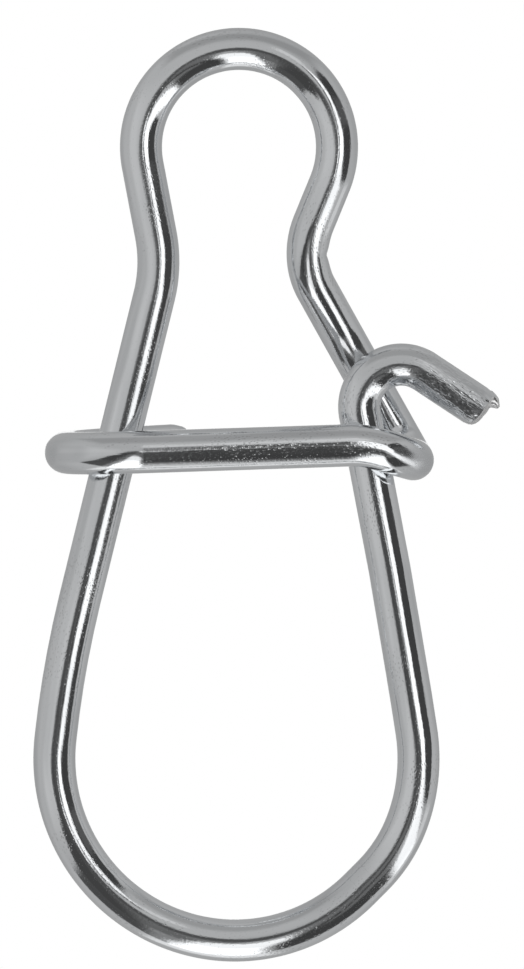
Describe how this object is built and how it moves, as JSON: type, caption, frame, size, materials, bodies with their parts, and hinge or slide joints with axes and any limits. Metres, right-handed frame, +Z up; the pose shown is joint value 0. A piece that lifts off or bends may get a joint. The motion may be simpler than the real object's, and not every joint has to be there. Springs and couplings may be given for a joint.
{
  "type": "wire lock snap",
  "caption": "Lock snap bent from spring wire: line eye, pear-shaped lure loop, crossbar wrapped round the spine, and a sprung gate arm whose hook latches over the upper arm.",
  "frame": {"origin": "centre of the line eye, in the middle of the wire", "axes": "+Z up along the snap from the lure loop to the line eye, +X towards the hook, +Y from the crossbar's side to the back; the front is seen looking along +Y"},
  "size_m": [0.0166, 0.0069, 0.0331],
  "materials": {
    "wire": "bright drawn spring wire, fine drawing lines and pits",
    "cut_wire": "bright wire with a sheared, torn end"
  },
  "bodies": {
    "frame": {"latch_tail": "wire", "latch_wrap": "wire", "cross_bar": "wire", "corner_bend": "wire", "upper_arm": "wire", "right_neck": "wire", "line_eye": "wire", "left_neck": "wire", "spine": "wire", "lure_bend": "wire"},
    "flex_root": {"spring_root": "wire"},
    "flex_tip": {"spring_tip": "wire"},
    "gate": {"gate_bend": "wire", "gate_arm": "wire", "gate_hook": "wire", "gate_tip": "cut_wire"}
  },
  "joints": [
    {"name": "gate_orbit", "type": "hinge", "parent": "frame", "child": "flex_root", "pos_m": [0.00453, 0, -0.02606], "axis": [-0.7071, 0, -0.7071], "range_deg": [0, 180]},
    {"name": "gate_squeeze", "type": "hinge", "parent": "flex_root", "child": "flex_tip", "pos_m": [0.00453, 0, -0.02606], "axis": [0, -1, 0], "range_deg": [0, 19.4], "stiffness_Nm_per_rad": 1.2},
    {"name": "gate_untwist", "type": "hinge", "parent": "flex_tip", "child": "gate", "pos_m": [0.00453, 0, -0.02606], "axis": [-0.7071, 0, -0.7071], "range_deg": [-180, 0]}
  ],
  "couplings": [
    {"joint": "gate_untwist", "follows": "gate_orbit", "ratio": -1}
  ]
}
